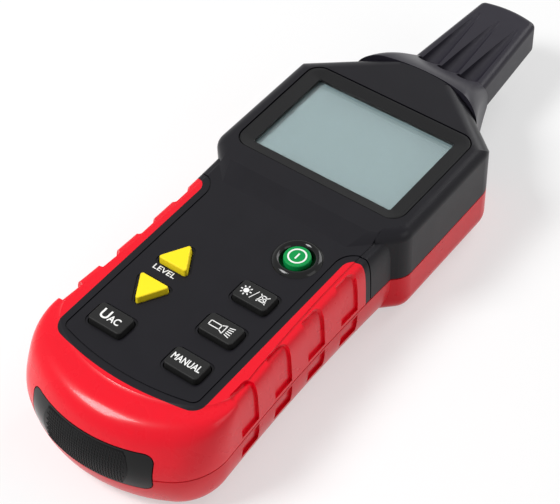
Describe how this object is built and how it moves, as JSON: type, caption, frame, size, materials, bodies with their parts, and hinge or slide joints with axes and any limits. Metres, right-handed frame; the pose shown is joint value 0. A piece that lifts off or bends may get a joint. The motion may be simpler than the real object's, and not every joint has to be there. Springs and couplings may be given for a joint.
{
  "type": "circuit breaker finder receiver",
  "caption": "Handheld receiver with a sensing probe, blank display and sprung keys that traces circuits to their breaker.",
  "frame": {"origin": "middle of the device's length and width, on the back face that it lies on", "axes": "+X to the right across the face, +Y from the tail to the probe tip, +Z out of the display"},
  "size_m": [0.078, 0.242, 0.0387],
  "materials": {
    "black_abs": "satin moulded ABS",
    "red_tpe": "semi-gloss overmoulded TPE",
    "red_abs": "semi-gloss moulded ABS",
    "collar_abs": "satin moulded ABS",
    "frame_abs": "matte moulded ABS",
    "gloss_black": "glossy moulded ABS",
    "key_rubber": "moulded silicone rubber",
    "key_yellow": "moulded silicone rubber",
    "key_green": "moulded silicone rubber",
    "window_acrylic": "clear moulded acrylic",
    "lcd_glass": "polarising film on display glass",
    "lens_clear": "clear moulded polycarbonate",
    "white_plastic": "moulded polycarbonate",
    "mat_rubber": "moulded silicone rubber",
    "board_green": "glass fibre laminate",
    "chip_black": "moulded epoxy",
    "switch_black": "moulded nylon",
    "copper": "enamelled copper winding",
    "ferrite": "sintered ferrite",
    "steel": "zinc plated steel",
    "cell_sleeve": "printed sleeve"
  },
  "bodies": {
    "casing": {"front_housing": "black_abs", "front_grip": "red_tpe", "rear_housing": "red_abs", "probe_cover": "collar_abs", "display_bezel": "frame_abs", "display_window": "window_acrylic", "lcd_panel": "lcd_glass", "lcd_backlight": "white_plastic", "lcd_frame": "white_plastic", "lcd_connector": "mat_rubber", "tail_cap": "gloss_black", "power_ring": "gloss_black", "keypad_mat": "mat_rubber", "tact_switches": "switch_black", "main_board": "board_green", "board_chips": "chip_black", "buzzer": "chip_black", "board_screws": "steel", "torch_lens": "lens_clear", "torch_led": "white_plastic", "ferrite_rod": "ferrite", "coil_bobbin": "switch_black", "sensor_coil": "copper", "battery_tray": "switch_black", "battery_cells": "cell_sleeve", "battery_springs": "steel", "battery_contacts": "steel", "battery_door": "red_abs", "door_screw": "steel", "housing_screws": "steel"},
    "power_button": {"power_button": "key_green"},
    "level_up_button": {"level_up_button": "key_yellow"},
    "level_down_button": {"level_down_button": "key_yellow"},
    "voltage_button": {"voltage_button": "key_rubber"},
    "light_mute_button": {"light_mute_button": "key_rubber"},
    "torch_button": {"torch_button": "key_rubber"},
    "manual_button": {"manual_button": "key_rubber"}
  },
  "joints": [
    {"name": "power_press", "type": "slide", "parent": "casing", "child": "power_button", "axis": [0, 0, -1], "range_m": [0, 0.0008], "stiffness_N_per_m": 600},
    {"name": "level_up_press", "type": "slide", "parent": "casing", "child": "level_up_button", "axis": [0, 0, -1], "range_m": [0, 0.0008], "stiffness_N_per_m": 600},
    {"name": "level_down_press", "type": "slide", "parent": "casing", "child": "level_down_button", "axis": [0, 0, -1], "range_m": [0, 0.0008], "stiffness_N_per_m": 600},
    {"name": "voltage_press", "type": "slide", "parent": "casing", "child": "voltage_button", "axis": [0, 0, -1], "range_m": [0, 0.0008], "stiffness_N_per_m": 600},
    {"name": "light_mute_press", "type": "slide", "parent": "casing", "child": "light_mute_button", "axis": [0, 0, -1], "range_m": [0, 0.0008], "stiffness_N_per_m": 600},
    {"name": "torch_press", "type": "slide", "parent": "casing", "child": "torch_button", "axis": [0, 0, -1], "range_m": [0, 0.0008], "stiffness_N_per_m": 600},
    {"name": "manual_press", "type": "slide", "parent": "casing", "child": "manual_button", "axis": [0, 0, -1], "range_m": [0, 0.0008], "stiffness_N_per_m": 600}
  ]
}
